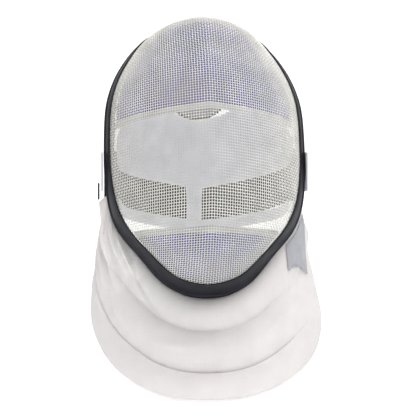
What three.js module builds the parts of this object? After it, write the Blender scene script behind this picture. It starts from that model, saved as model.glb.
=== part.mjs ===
// A fencing mask as it is worn: a bowl of woven wire with a bound edge, a padded bib that hangs from
// the lower edge, quilted linings inside, and the tongue, harness and strap that go round the head.
//
// Millimetres. +Z is up, -Y is where the wearer looks, and X = 0 is the plane of the face crease.
// The origin is the spot on the crown of the head that carries the mask.

import * as THREE from 'three';

// ---------------------------------------------------------------- driving dimensions

// The bowl. Each row is one weft line: the point where it crosses the crease (in the plane X = 0),
// the point where it reaches the bound edge on the +X side, and the angle at which it leaves the
// crease, in degrees from X. Rows run from the rear edge, over the crown and down the face.
const BOWL_ROWS = [
  // name        creaseY creaseZ  edgeX  edgeY   edgeZ  angle
  ['rear_edge',       88,      9,    22,  86.5,      7,     6],
  ['vertex',          56,     15,    41,    76,      1,     5],
  ['crown',           22,     17,    63,    64,    -10,     6],
  ['crown_front',     -6,      7,    75,    56,    -21,    13],
  ['hairline',       -30,    -13,    86,  47.5,    -36,    21],
  ['forehead_top',   -50,  -30.5,  95.5,  38.5,    -54,    26],
  ['forehead',       -64,  -47.5, 101.5,    29,    -72,    29],
  ['brow',           -84,    -80,   105,    16,   -102,    30],
  ['eyes',         -96.5,   -111, 105.4,   5.5,   -134,    30],
  ['cheek',         -106,   -142, 104.2,  -4.5,   -163,    30],
  ['nose',          -110,   -167,   101,   -10,   -187,    30],
  ['mouth',         -101,   -202,    90,   -14,   -215,    30],
  ['jaw',            -82,   -233,  69.5, -17.3,   -239,    30],
  ['chin_top',       -65,   -249,  55.5,   -21,   -256,    29],
  ['chin',           -45,   -266,    41,   -24,   -270,    26],
  ['chin_edge',      -29, -282.5,    24, -26.5,   -279,    20],
];
const EDGE_ANGLE = THREE.MathUtils.degToRad(72);   // every weft reaches the edge at this angle to X
const BOWL_WALL = 1.8;
const BOWL_CELLS = { across: 20, along: 36 };

// The bound edge: a channel folded over the bowl's rim, with a bead near its outer edge.
const GAP = 0.85;
const TRIM_LEATHER = 1.4;
const TRIM_FRONT = 19;
const TRIM_BACK = 15;
const TRIM_LIP = 2.4;
const TRIM_BEAD = 1;
const TRIM_SIDE_STATIONS = 30;
const TRIM_END_STATIONS = [0.66, 0.33, 0, -0.33, -0.66];   // across, at the chin and at the rear
const TRIM_MARCH_STEPS = 40;    // steps over the surface from the edge to the binding's inner line
const BEAD_FOOT = -2.6;         // the bead's cross-section, as distances outside the edge
const BEAD_START = -1.2;
const BEAD_END = 0.8;
const LIP_DROP = 0.4;           // how far the lip falls below the binding's face

// The bib hangs between the lower half of the edge and this hem. share runs from 0 at the chin
// to 1 at the upper back corners beside the ears. The wearer's two sides hang differently.
const BIB_HEM = [
  // share  leftX  rightX  hemY   hemZ
  [0,           0,      0,  -62,  -391],
  [0.2,       -37,     40,  -58,  -385],
  [0.4,       -73,     80,  -41,  -369],
  [0.6,      -105,    114,  -10,  -340],
  [0.8,      -121,    125,   14,  -302],
  [0.92,     -119,    117,   25,  -244],
  [1,        -115,    107,   22,  -184],
];
const BIB_TOP = -177;           // height where the bib starts on the edge, level with the ear
const BIB_SEAMS = [0, 0.33, 0.72, 1];   // quilting seams, as shares of the way down to the hem
const BIB_ROLL = 8;             // how far each padded roll stands out at the chin
const BIB_ROLL_AT_EAR = 1.5;
const BIB_PADDING = 5;
const BIB_GAP = 2.5;
const BIB_CELLS = { across: 32, down: 15 };
const ROLL_FULLNESS = 0.7;      // below 1, a roll is fuller than a sine arc
const ROLL_FADE = 1.5;          // how late the rolls flatten out towards the ears
const CELLS = {                 // grid cells, across and down, of the smaller walls
  ribbon: [4, 6], foreheadLining: [14, 9], chinLining: [14, 6], binding: [14, 1], tongue: [6, 10], strap: [24, 2],
};

// Quilted linings inside the bowl, and the binding on their free edges.
const LINING_PADDING = 4.8;
const LINING_STANDOFF = 6.2;    // from the wire to the middle of the padding
const BINDING_THICKNESS = 3.6;
const BINDING_HEIGHT = 9;
const FOREHEAD_LINING = { rear: 0.15, freeEdgeZ: -76, reach: 0.93 };
const CHIN_LINING = { freeEdgeZ: -216, end: 0.975, reach: 0.9 };

// The tongue is sprung from the rear edge and presses on the back of the head.
const TONGUE = { width: 74, thickness: 3, topY: 77, topZ: -5, endY: 62, endZ: -92, centreX: -5, bow: 7, endCut: 0.97 };

// The harness: a white band round the back of the head, with a stem down to a narrow lower band.
const HARNESS = { halfWidth: 91, frontY: 12, rearY: 80, thickness: 2.4, stemX: -7, stemHalf: 8.5 };
const HARNESS_ENDS = { halfWidth: 94, y: 1 };

// The elastic back strap, with a tab on each side of the edge.
const STRAP = { halfWidth: 113.5, frontY: 26, rearY: 104, thickness: 2, height: 50, endZ: -152, sag: 22 };
const TAB = { inner: 111.8, thickness: 1.8, frontY: -8, rearY: 24, lowZ: -172, highZ: -130 };
const STRAP_END = { thickness: 1.8, frontY: 2, rearY: 22, lowZ: -181, highZ: -163 };

// The ribbon on the bib, beside the edge on the +X side: bare cloth with a notched end. Its corners
// are places on the bib, as shares of the way round to the ear and down to the hem.
const RIBBON_CORNERS = {
  topInner: [0.66, 0.05], topOuter: [0.9, 0.06], endInner: [0.6, 0.22], endOuter: [0.76, 0.44],
};
const RIBBON = { notch: 0.09, thickness: 0.8, standoff: 1.6 };

// ---------------------------------------------------------------- curves

// Natural cubic spline through rows of numbers, by chord length; returns t in [0, 1] -> row.
function spline(rows, chordColumns) {
  const last = rows.length - 1;
  const knots = [0];
  for (let k = 1; k <= last; k++) {
    const step = Math.hypot(...chordColumns.map((c) => rows[k][c] - rows[k - 1][c]));
    knots.push(knots[k - 1] + step);
  }
  const total = knots[last];
  const bends = rows[0].map((_, column) => secondDerivatives(knots, rows.map((row) => row[column])));
  return (t) => {
    const at = t * total;
    let k = 1;
    while (k < last && knots[k] < at) k++;
    const span = knots[k] - knots[k - 1];
    const after = (at - knots[k - 1]) / span;
    const before = 1 - after;
    return rows[0].map((_, column) => {
      const bend = (before ** 3 - before) * bends[column][k - 1] + (after ** 3 - after) * bends[column][k];
      return before * rows[k - 1][column] + after * rows[k][column] + (bend * span * span) / 6;
    });
  };
}

function secondDerivatives(knots, values) {
  const n = knots.length;
  const result = new Array(n).fill(0);
  const carry = new Array(n).fill(0);
  for (let k = 1; k < n - 1; k++) {
    const low = knots[k] - knots[k - 1];
    const high = knots[k + 1] - knots[k];
    const slopeChange = (values[k + 1] - values[k]) / high - (values[k] - values[k - 1]) / low;
    const pivot = 2 * (low + high) - low * result[k - 1];
    result[k] = high / pivot;
    carry[k] = (6 * slopeChange - low * carry[k - 1]) / pivot;
  }
  for (let k = n - 2; k > 0; k--) carry[k] -= result[k] * carry[k + 1];
  return carry;
}

const lerp = THREE.MathUtils.lerp;
const clamp = THREE.MathUtils.clamp;

// Piecewise straight line through [x, y] pairs.
function polyline(pairs, x) {
  let k = 1;
  while (k < pairs.length - 1 && pairs[k][0] < x) k++;
  const [x0, y0] = pairs[k - 1];
  const [x1, y1] = pairs[k];
  return lerp(y0, y1, clamp((x - x0) / (x1 - x0), 0, 1));
}

// ---------------------------------------------------------------- the bowl's surface

const bowlRow = spline(BOWL_ROWS.map(([, ...numbers]) => numbers), [0, 1]);

// across runs from -1 to 1 over the crease at 0; along runs from the rear edge to the chin.
function bowlPoint(across, along) {
  const [creaseY, creaseZ, edgeX, edgeY, edgeZ, creaseDegrees] = bowlRow(along);
  const start = THREE.MathUtils.degToRad(creaseDegrees);
  const angle = lerp(start, EDGE_ANGLE, Math.abs(across));
  const out = (Math.sin(angle) - Math.sin(start)) / (Math.sin(EDGE_ANGLE) - Math.sin(start));
  const back = (Math.cos(start) - Math.cos(angle)) / (Math.cos(start) - Math.cos(EDGE_ANGLE));
  return new THREE.Vector3(
    Math.sign(across) * edgeX * out,
    lerp(creaseY, edgeY, back),
    lerp(creaseZ, edgeZ, back),
  );
}

function bowlSlopes(across, along) {
  const h = 1e-4;
  return {
    perAcross: bowlPoint(across + h, along).sub(bowlPoint(across - h, along)).divideScalar(2 * h),
    perAlong: bowlPoint(across, along + h).sub(bowlPoint(across, along - h)).divideScalar(2 * h),
  };
}

// Outward normal; on the crease it lies in the plane X = 0.
function bowlNormal(across, along) {
  const { perAcross, perAlong } = bowlSlopes(across, along);
  return perAlong.cross(perAcross).normalize();
}

// The share of the way along the crease at which it stands at height z, on the face.
function alongAtHeight(z) {
  let low = 0.2;
  let high = 1;
  for (let k = 0; k < 40; k++) {
    const middle = (low + high) / 2;
    if (bowlPoint(0, middle).z > z) low = middle;
    else high = middle;
  }
  return low;
}

const CREASE_LENGTH = (() => {
  let length = 0;
  for (let k = 0; k < 200; k++) length += bowlPoint(0, k / 200).distanceTo(bowlPoint(0, (k + 1) / 200));
  return length;
})();

// ---------------------------------------------------------------- solids from grids

// A closed solid from a grid of points: the surface moved out by `front` and in by `back` along
// its own normals. keep(i, j) says which cells are there, so that a wall can have windows.
function wall(pointAt, cells, front, back, keep = () => true) {
  const [columns, rows] = cells;
  const grid = [];
  for (let j = 0; j <= rows; j++) {
    for (let i = 0; i <= columns; i++) grid.push(pointAt(i / columns, j / rows));
  }
  const at = (i, j) => j * (columns + 1) + i;
  const normals = grid.map((_, index) => {
    const i = index % (columns + 1);
    const j = Math.floor(index / (columns + 1));
    const alongRow = grid[at(Math.min(i + 1, columns), j)].clone().sub(grid[at(Math.max(i - 1, 0), j)]);
    const downColumn = grid[at(i, Math.min(j + 1, rows))].clone().sub(grid[at(i, Math.max(j - 1, 0))]);
    return downColumn.cross(alongRow).normalize();
  });
  const positions = [];
  for (const offset of [front, -back]) {
    grid.forEach((point, index) => positions.push(...point.clone().addScaledVector(normals[index], offset)));
  }
  const inner = grid.length;
  const index = [];
  const quad = (a, b, c, d) => index.push(a, b, c, a, c, d);
  const kept = (i, j) => i >= 0 && j >= 0 && i < columns && j < rows && keep(i, j);
  for (let j = 0; j < rows; j++) {
    for (let i = 0; i < columns; i++) {
      if (!kept(i, j)) continue;
      const [a, b, c, d] = [at(i, j), at(i, j + 1), at(i + 1, j + 1), at(i + 1, j)];
      quad(a, b, c, d);
      quad(inner + d, inner + c, inner + b, inner + a);
      if (!kept(i - 1, j)) quad(b, a, inner + a, inner + b);
      if (!kept(i + 1, j)) quad(d, c, inner + c, inner + d);
      if (!kept(i, j - 1)) quad(a, d, inner + d, inner + a);
      if (!kept(i, j + 1)) quad(c, b, inner + b, inner + c);
    }
  }
  return closedGeometry(positions, index);
}

// A closed ring from a loop of equal sections.
function ring(sections) {
  const size = sections[0].length;
  const positions = sections.flat().flatMap((point) => point.toArray());
  const index = [];
  sections.forEach((_, k) => {
    const next = (k + 1) % sections.length;
    for (let m = 0; m < size; m++) {
      const [a, b] = [k * size + m, k * size + ((m + 1) % size)];
      const [c, d] = [next * size + ((m + 1) % size), next * size + m];
      index.push(a, b, c, a, c, d);
    }
  });
  return closedGeometry(positions, index);
}

// Unused corners are dropped and the faces are turned to point out.
function closedGeometry(positions, index) {
  const volume = signedVolume(positions, index);
  const order = volume < 0 ? flipped(index) : index;
  const renumbered = new Map();
  const used = [];
  const compact = order.map((corner) => {
    if (!renumbered.has(corner)) {
      renumbered.set(corner, renumbered.size);
      used.push(...positions.slice(3 * corner, 3 * corner + 3));
    }
    return renumbered.get(corner);
  });
  const geometry = new THREE.BufferGeometry();
  geometry.setAttribute('position', new THREE.Float32BufferAttribute(used, 3));
  geometry.setIndex(compact);
  geometry.computeVertexNormals();
  return geometry;
}

function signedVolume(positions, index) {
  const corner = (k) => new THREE.Vector3().fromArray(positions, 3 * index[k]);
  let volume = 0;
  for (let k = 0; k < index.length; k += 3) {
    volume += corner(k).dot(corner(k + 1).cross(corner(k + 2))) / 6;
  }
  return volume;
}

function flipped(index) {
  const turned = [];
  for (let k = 0; k < index.length; k += 3) turned.push(index[k], index[k + 2], index[k + 1]);
  return turned;
}

// ---------------------------------------------------------------- the bowl and its bound edge

function wireBowl() {
  const pointAt = (a, b) => bowlPoint(2 * a - 1, b);
  return wall(pointAt, [BOWL_CELLS.across, BOWL_CELLS.along], BOWL_WALL / 2, BOWL_WALL / 2);
}

// The outline of the bowl as [across, along] pairs, once round: down the +X side, through the
// chin, up the -X side and through the rear.
function bowlOutline() {
  const side = [];
  for (let k = 0; k <= TRIM_SIDE_STATIONS; k++) side.push([1, k / TRIM_SIDE_STATIONS]);
  const mirrored = side.map(([, along]) => [-1, along]).reverse();
  const chin = TRIM_END_STATIONS.map((a) => [a, 1]);
  const rear = TRIM_END_STATIONS.map((a) => [-a, 0]);
  return [...side, ...chin, ...mirrored, ...rear];
}

// The point at a distance inside the edge, along the surface and square to the edge.
function insideEdge([across, along], inward, distance) {
  const step = distance / TRIM_MARCH_STEPS;
  let here = [across, along];
  for (let k = 0; k < TRIM_MARCH_STEPS; k++) {
    const { perAcross, perAlong } = bowlSlopes(...here);
    const a = perAcross.dot(perAcross);
    const b = perAcross.dot(perAlong);
    const c = perAlong.dot(perAlong);
    const p = perAcross.dot(inward) * step;
    const q = perAlong.dot(inward) * step;
    const scale = 1 / (a * c - b * b);
    here = [here[0] + (c * p - b * q) * scale, here[1] + (a * q - b * p) * scale];
  }
  return here;
}

const outline = bowlOutline();
const outlineFrames = outline.map((here, k) => {
  const before = bowlPoint(...outline[(k + outline.length - 1) % outline.length]);
  const after = bowlPoint(...outline[(k + 1) % outline.length]);
  const point = bowlPoint(...here);
  const normal = bowlNormal(...here);
  const outward = normal.clone().cross(after.sub(before)).normalize();
  return { here, point, normal, outward };
});

function trimSection({ here, point, normal, outward }) {
  const inner = BOWL_WALL / 2 + GAP;
  const outer = inner + TRIM_LEATHER;
  const profile = [
    [-TRIM_FRONT, inner], [-TRIM_FRONT, outer], [-TRIM_FRONT / 2, outer], [BEAD_FOOT, outer],
    [BEAD_START, outer + TRIM_BEAD], [BEAD_END, outer + TRIM_BEAD], [TRIM_LIP, outer - LIP_DROP],
    [TRIM_LIP, -outer], [-TRIM_BACK / 2, -outer], [-TRIM_BACK, -outer],
    [-TRIM_BACK, -inner], [-TRIM_BACK / 2, -inner], [TRIM_LIP - TRIM_LEATHER, -inner],
    [TRIM_LIP - TRIM_LEATHER, inner], [-TRIM_FRONT / 2, inner],
  ];
  const inward = outward.clone().negate();
  return profile.map(([out, off]) => {
    if (out >= 0) return point.clone().addScaledVector(outward, out).addScaledVector(normal, off);
    const inside = insideEdge(here, inward, -out);
    return bowlPoint(...inside).addScaledVector(bowlNormal(...inside), off);
  });
}

// ---------------------------------------------------------------- the bib

// The lower edge from the chin (0) to the ear (1) on the +X side, just outside the trim.
const lowerEdge = (() => {
  const chin = outlineFrames.findIndex(({ here }) => here[0] === 0 && here[1] === 1);
  const points = [];
  for (let k = chin; outlineFrames[k].point.z < BIB_TOP || points.length < 2; k--) {
    points.push(outlineFrames[k].point.clone().addScaledVector(outlineFrames[k].outward, TRIM_LIP + BIB_GAP));
  }
  return spline(points.map((point) => point.toArray()), [0, 1, 2]);
})();
const hem = spline(BIB_HEM.map(([, ...numbers]) => numbers), [1, 2, 3]);
const hemShare = (() => {
  let length = 0;
  const lengths = BIB_HEM.map(([, , ...place], k) => {
    const before = BIB_HEM[Math.max(k - 1, 0)].slice(2);
    length += Math.hypot(...place.map((value, column) => value - before[column]));
    return length;
  });
  return BIB_HEM.map(([share], k) => [share, lengths[k] / length]);
})();

// side runs from -1 to 1 through the chin at 0; down runs from the edge to the hem.
function bibBase(side, down) {
  const share = Math.abs(side);
  const top = new THREE.Vector3(...lowerEdge(share));
  const [leftX, rightX, hemY, hemZ] = hem(polyline(hemShare, share));
  if (side < 0) top.x = -top.x;
  if (side === 0) top.x = 0;
  return top.lerp(new THREE.Vector3(side < 0 ? leftX : rightX, hemY, hemZ), down);
}

function bibPoint(side, down) {
  const h = 0.01;
  const across = bibBase(side + h, down).sub(bibBase(side - h, down));
  const fall = bibBase(side, down + h).sub(bibBase(side, down - h));
  const normal = fall.cross(across).normalize();
  return bibBase(side, down).addScaledVector(normal, rollHeight(side, down));
}

function rollHeight(side, down) {
  const k = BIB_SEAMS.findIndex((seam, m) => m > 0 && down <= seam + 1e-9);
  const within = clamp((down - BIB_SEAMS[k - 1]) / (BIB_SEAMS[k] - BIB_SEAMS[k - 1]), 0, 1);
  const height = lerp(BIB_ROLL, BIB_ROLL_AT_EAR, Math.abs(side) ** ROLL_FADE);
  return height * Math.sin(Math.PI * within) ** ROLL_FULLNESS;
}

function bib() {
  const pointAt = (a, b) => bibPoint(2 * a - 1, b);
  return wall(pointAt, [BIB_CELLS.across, BIB_CELLS.down], 0, BIB_PADDING);
}

function ribbon() {
  const { topInner, topOuter, endInner, endOuter } = RIBBON_CORNERS;
  const { notch, thickness, standoff } = RIBBON;
  const pointAt = (a, b) => {
    const side = lerp(lerp(topInner[0], topOuter[0], a), lerp(endInner[0], endOuter[0], a), b);
    const end = lerp(endInner[1], endOuter[1], a) - notch * (1 - Math.abs(2 * a - 1));
    return bibPoint(side, lerp(lerp(topInner[1], topOuter[1], a), end, b));
  };
  return wall(pointAt, CELLS.ribbon, standoff + thickness, -standoff);
}

// ---------------------------------------------------------------- linings

// A pad on the inside of the bowl between two shares of the crease.
function lining(from, to, reach, cells, thickness) {
  const pointAt = (a, b) => {
    const across = (2 * a - 1) * reach;
    const along = lerp(from, to, b);
    return bowlPoint(across, along).addScaledVector(bowlNormal(across, along), -LINING_STANDOFF);
  };
  return wall(pointAt, cells, thickness / 2, thickness / 2);
}

const alongCrease = (millimetres) => millimetres / CREASE_LENGTH;
const foreheadEdge = alongAtHeight(FOREHEAD_LINING.freeEdgeZ);
const chinEdge = alongAtHeight(CHIN_LINING.freeEdgeZ);

function foreheadBinding() {
  const from = foreheadEdge + alongCrease(GAP);
  const to = from + alongCrease(BINDING_HEIGHT);
  return lining(from, to, FOREHEAD_LINING.reach, CELLS.binding, BINDING_THICKNESS);
}

function chinLining() {
  return lining(chinEdge, CHIN_LINING.end, CHIN_LINING.reach, CELLS.chinLining, LINING_PADDING);
}

function chinBinding() {
  const to = chinEdge - alongCrease(GAP);
  const from = to - alongCrease(BINDING_HEIGHT);
  return lining(from, to, CHIN_LINING.reach, CELLS.binding, BINDING_THICKNESS);
}

// ---------------------------------------------------------------- tongue, harness and strap

function tongue() {
  const { width, thickness, topY, topZ, endY, endZ, centreX, bow, endCut } = TONGUE;
  const roundFrom = 1 - width / 2 / (topZ - endZ);
  const pointAt = (a, b) => {
    const intoEnd = clamp((b - roundFrom) / (1 - roundFrom), 0, endCut);
    const halfWidth = (width / 2) * Math.sqrt(1 - intoEnd * intoEnd);
    return new THREE.Vector3(
      lerp(0, centreX, b) + (2 * a - 1) * halfWidth,
      lerp(topY, endY, b) + bow * Math.sin(Math.PI * b),
      lerp(topZ, endZ, b),
    );
  };
  return wall(pointAt, CELLS.tongue, thickness / 2, thickness / 2);
}

// A height of the harness at a share of the way across, for each of its edges.
const HARNESS_EDGES = {
  top: [[0, -114], [0.1, -109], [0.16, -97], [0.5, -80], [0.84, -95], [0.9, -108], [1, -114]],
  bandBottom: [[0, -137], [0.08, -148], [0.16, -151], [0.5, -170], [0.84, -147], [0.92, -144], [1, -137]],
  lowerTop: [[0, -172], [0.2, -190], [0.5, -206], [0.8, -190], [1, -172]],
  bottom: [[0, -184], [0.2, -203], [0.5, -220], [0.8, -203], [1, -184]],
};
const HARNESS_ROWS = { band: 3, window: 2, lower: 1 };
const HARNESS_COLUMNS = { columns: 22, stemColumn: 10, endColumns: 2 };

function harness() {
  const { halfWidth, frontY, rearY, thickness, stemX, stemHalf } = HARNESS;
  const { columns, stemColumn, endColumns } = HARNESS_COLUMNS;
  const rows = HARNESS_ROWS.band + HARNESS_ROWS.window + HARNESS_ROWS.lower;
  const xAt = (column) => {
    const turn = clamp((column - endColumns) / (columns - 2 * endColumns), 0, 1);
    const angle = lerp(-Math.PI / 2, Math.PI / 2, turn);
    return { x: halfWidth * Math.sin(angle), y: frontY + (rearY - frontY) * Math.cos(angle) };
  };
  const pointAt = (a, b) => {
    const column = Math.round(a * columns);
    const row = Math.round(b * rows);
    const place = xAt(column);
    if (column === stemColumn) place.x = stemX - stemHalf;
    if (column === stemColumn + 1) place.x = stemX + stemHalf;
    const fromEnd = Math.min(column, columns - column);
    if (fromEnd < endColumns) {
      const outward = 1 - fromEnd / endColumns;
      place.x = Math.sign(place.x) * lerp(halfWidth, HARNESS_ENDS.halfWidth, outward);
      place.y = lerp(frontY, HARNESS_ENDS.y, outward);
    }
    const { top, bandBottom, lowerTop, bottom } = HARNESS_EDGES;
    const levels = [top, bandBottom, lowerTop, bottom].map((edge) => polyline(edge, a));
    const z = row <= HARNESS_ROWS.band
      ? lerp(levels[0], levels[1], row / HARNESS_ROWS.band)
      : row <= HARNESS_ROWS.band + HARNESS_ROWS.window
        ? lerp(levels[1], levels[2], (row - HARNESS_ROWS.band) / HARNESS_ROWS.window)
        : levels[3];
    return new THREE.Vector3(place.x, place.y, z);
  };
  const keep = (i, j) => {
    if (j < HARNESS_ROWS.band) return true;
    if (j >= rows - HARNESS_ROWS.lower) return i >= endColumns && i < columns - endColumns;
    return i === stemColumn;
  };
  return wall(pointAt, [columns, rows], thickness / 2, thickness / 2, keep);
}

function backStrap() {
  const { halfWidth, frontY, rearY, thickness, height, endZ, sag } = STRAP;
  const pointAt = (a, b) => {
    const angle = lerp(-Math.PI / 2, Math.PI / 2, a);
    const low = sag * Math.cos(angle) ** 2;
    return new THREE.Vector3(
      halfWidth * Math.sin(angle),
      frontY + (rearY - frontY) * Math.cos(angle),
      endZ - low + (0.5 - b) * height,
    );
  };
  return wall(pointAt, CELLS.strap, thickness / 2, thickness / 2);
}

function plate(side, inner, { thickness, frontY, rearY, lowZ, highZ }) {
  const geometry = new THREE.BoxGeometry(thickness, rearY - frontY, highZ - lowZ);
  geometry.translate(side * (inner + thickness / 2), (frontY + rearY) / 2, (lowZ + highZ) / 2);
  return geometry;
}

// ---------------------------------------------------------------- assembly

const finish = (color, roughness, metalness = 0) => new THREE.MeshStandardMaterial({ color, roughness, metalness });
const wireSteel = finish('#d6d6cf', 0.45, 0.6);
const blackVinyl = finish('#25262b', 0.6);
const whiteCloth = finish('#ebe8e8', 0.9);
const ribbonCloth = finish('#c4c6cc', 0.55);
const blueCloth = finish('#1d1a8c', 0.85);
const greyBinding = finish('#b9bbc0', 0.8);
const greyCloth = finish('#8f9298', 0.85);
const whiteElastic = finish('#dcdde2', 0.85);
const blackElastic = finish('#17171a', 0.85);

const mask = new THREE.Group();
function add(name, geometry, material) {
  const mesh = new THREE.Mesh(geometry, material);
  mesh.name = name;
  mask.add(mesh);
}

const { rear, reach } = FOREHEAD_LINING;
add('wire_mesh', wireBowl(), wireSteel);
add('rim_trim', ring(outlineFrames.map(trimSection)), blackVinyl);
add('bib', bib(), whiteCloth);
add('label', ribbon(), ribbonCloth);
add('forehead_lining', lining(rear, foreheadEdge, reach, CELLS.foreheadLining, LINING_PADDING), blueCloth);
add('forehead_binding', foreheadBinding(), greyBinding);
add('chin_lining', chinLining(), blueCloth);
add('chin_binding', chinBinding(), greyBinding);
add('tongue', tongue(), greyCloth);
add('head_harness', harness(), whiteElastic);
add('back_strap', backStrap(), blackElastic);
add('strap_tab_left', plate(-1, TAB.inner, TAB), greyBinding);
add('strap_tab_right', plate(1, TAB.inner, TAB), greyBinding);
add('strap_end_left', plate(-1, TAB.inner + TAB.thickness + GAP, STRAP_END), blackElastic);

export default mask;
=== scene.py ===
"""A fencing mask: woven wire bowl, bound edge, padded bib, linings, tongue, harness and back strap.

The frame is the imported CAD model: metres, +Z up, -Y where the wearer looks, origin at the crown.
Surfaces are worked out in millimetres. The bowl's table is the CAD model's own; the bib's hem, the
edge binding's reach, the harness's upper edge and the back strap are refined here.
"""

import math

import bpy
import numpy as np
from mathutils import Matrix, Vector


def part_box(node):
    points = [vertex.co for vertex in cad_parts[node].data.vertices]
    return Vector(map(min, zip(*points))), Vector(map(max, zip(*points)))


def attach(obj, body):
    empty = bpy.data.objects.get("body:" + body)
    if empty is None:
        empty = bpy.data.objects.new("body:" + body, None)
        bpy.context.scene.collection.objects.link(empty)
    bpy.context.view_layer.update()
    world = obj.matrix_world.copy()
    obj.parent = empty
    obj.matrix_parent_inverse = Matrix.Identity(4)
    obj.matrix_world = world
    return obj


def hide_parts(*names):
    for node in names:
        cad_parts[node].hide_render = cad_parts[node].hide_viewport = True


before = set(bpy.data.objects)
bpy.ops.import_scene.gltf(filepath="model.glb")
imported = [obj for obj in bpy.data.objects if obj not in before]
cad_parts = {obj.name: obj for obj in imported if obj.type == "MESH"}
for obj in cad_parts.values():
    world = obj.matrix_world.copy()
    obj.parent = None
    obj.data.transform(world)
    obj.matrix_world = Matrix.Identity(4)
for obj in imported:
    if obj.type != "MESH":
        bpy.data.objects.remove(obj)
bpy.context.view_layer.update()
scene = bpy.context.scene
BODY = "root"
MM = 0.001

# ---------------------------------------------------------------- driving dimensions, in mm

# One weft line a row: its point on the crease, its point on the edge, and its angle at the crease.
BOWL_ROWS = np.array([
    # creaseY creaseZ edgeX edgeY edgeZ degrees
    [88, 9, 22, 86.5, 7, 6],
    [56, 15, 41, 76, 1, 5],
    [22, 17, 63, 64, -10, 6],
    [-6, 7, 75, 56, -21, 13],
    [-30, -13, 86, 47.5, -36, 21],
    [-50, -30.5, 95.5, 38.5, -54, 26],
    [-64, -47.5, 101.5, 29, -72, 29],
    [-84, -80, 105, 16, -102, 30],
    [-96.5, -111, 105.4, 5.5, -134, 30],
    [-106, -142, 104.2, -4.5, -163, 30],
    [-110, -167, 101, -10, -187, 30],
    [-101, -202, 90, -14, -215, 30],
    [-82, -233, 69.5, -17.3, -239, 30],
    [-65, -249, 55.5, -21, -256, 29],
    [-45, -266, 41, -24, -270, 26],
    [-29, -282.5, 24, -26.5, -279, 20],
])
EDGE_ANGLE = math.radians(72)

# The bib's hem: share of the way from the chin to the ear, its left and right X, its Y and Z.
BIB_HEM = np.array([
    [0, 0, 0, -62, -391],
    [0.2, -40, 42, -58, -388],
    [0.4, -77, 83, -41, -373],
    [0.6, -109, 118, -10, -344],
    [0.8, -122, 127, 14, -302],
    [0.92, -112, 107, 25, -244],
    [1, -114, 105, 22, -184],
])
BIB_TOP = -177
BIB_GAP = 1.2
BIB_SEAMS = (0, 0.33, 0.72, 1)
BIB_ROLL = 10.5
BIB_ROLL_AT_EAR = 2
BIB_PADDING = 4.6
ROLL_FULLNESS = 0.62     # below 1, a roll is fuller than a sine arc
ROLL_HANG = 0.8          # below 1, a roll is highest above its middle
ROLL_FADE = 1.5          # how late the rolls flatten out towards the ears
BROAD_ROLL = 0.75        # height of the one roll past the seams' ends, to that of the others
SEAM_END_LEFT = 0.72     # where the seams start to flatten out, as a share of the way to the ear
SEAM_END_RIGHT = 0.42
SEAM_FADE = 0.26
BIB_REACH = 165          # from the chin to the ear along the bib's top, for the folds' widths
BIB_DROP = 110

FOLD_DEPTH = 1.9         # how much deeper the folds are than their table says
FOLD_END = 0.12          # share of a fold's arc that is left off at each end
FOLD_STEEPNESS = 1.8     # how much steeper a fold is below its ridge than above it

# Soft folds in the bib: a ridge from one place to another, each given as side and down.
BIB_FOLDS = [
    # side0  down0  side1  down1  width  height
    (-0.99, 0.10, -0.66, 0.40, 6, 4.6),
    (-0.98, 0.26, -0.76, 0.52, 5, 3.4),
    (-0.90, 0.02, -0.62, 0.22, 4.5, 3.6),
    (-0.76, 0.04, -0.46, 0.20, 4, 2.8),
    (-0.60, 0.10, -0.38, 0.28, 4, -2.4),
    (-0.93, 0.50, -0.84, 0.82, 8, 2.6),
    (-0.70, 0.46, -0.50, 0.62, 5, 1.6),
    (0.58, 0.36, 0.76, 0.22, 4, 2.8),
    (0.86, 0.10, 0.90, 0.60, 7, 2.4),
    (0.35, 0.50, 0.60, 0.44, 5, 1.5),
    (-0.30, 0.56, -0.08, 0.50, 6, 1.3),
]

PITCH = 3.1
WIRE_RADIUS = 0.5
WIRE_SIDES = 5
CRIMP = 0.92             # how far a wire swings off the middle, to its radius
NEWTON_STEPS = 12
LONGEST_WIRE = 200       # crossings
NET_START_Z = -136       # where the first weft wire crosses the crease, at the bowl's widest

TRIM_GAP = 1.25
TRIM_LEATHER = 1.4
TRIM_REACH = [(-290, 18.5), (-262, 21), (-215, 22), (-175, 15), (-130, 11), (0, 10.5)]   # height, reach
TRIM_BACK = 15
TRIM_LIP = 2.4
TRIM_BEAD = 0.9

LINING_STANDOFF = 6.2
LINING_PADDING = 4.4
FOREHEAD_EDGE_Z = -76    # the free edges of the two linings, on the crease
CHIN_EDGE_Z = -216
WEBBING_HEIGHT = 9
WEBBING_GAP = 0.6
WEBBING_THICKNESS = 3.2

# ---------------------------------------------------------------- curves and surfaces


def spline(rows, chord_columns):
    """Natural cubic spline through rows, by chord length: t from 0 to 1 gives a row for each t."""
    rows = np.asarray(rows, float)
    steps = np.linalg.norm(np.diff(rows[:, chord_columns], axis=0), axis=1)
    knots = np.concatenate([[0], np.cumsum(steps)])
    count = len(rows)
    matrix = np.eye(count)
    right = np.zeros_like(rows)
    for k in range(1, count - 1):
        low, high = steps[k - 1], steps[k]
        matrix[k, k - 1:k + 2] = (low, 2 * (low + high), high)
        right[k] = 6 * ((rows[k + 1] - rows[k]) / high - (rows[k] - rows[k - 1]) / low)
    bends = np.linalg.solve(matrix, right)

    def at(t):
        place = np.asarray(t, float) * knots[-1]
        k = np.clip(np.searchsorted(knots, place, side="left"), 1, count - 1)
        span = knots[k] - knots[k - 1]
        after = ((place - knots[k - 1]) / span)[..., None]
        before = 1 - after
        bend = (before**3 - before) * bends[k - 1] + (after**3 - after) * bends[k]
        return before * rows[k - 1] + after * rows[k] + bend * (span * span / 6)[..., None]

    return at


bowl_row = spline(BOWL_ROWS, [0, 1])


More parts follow.
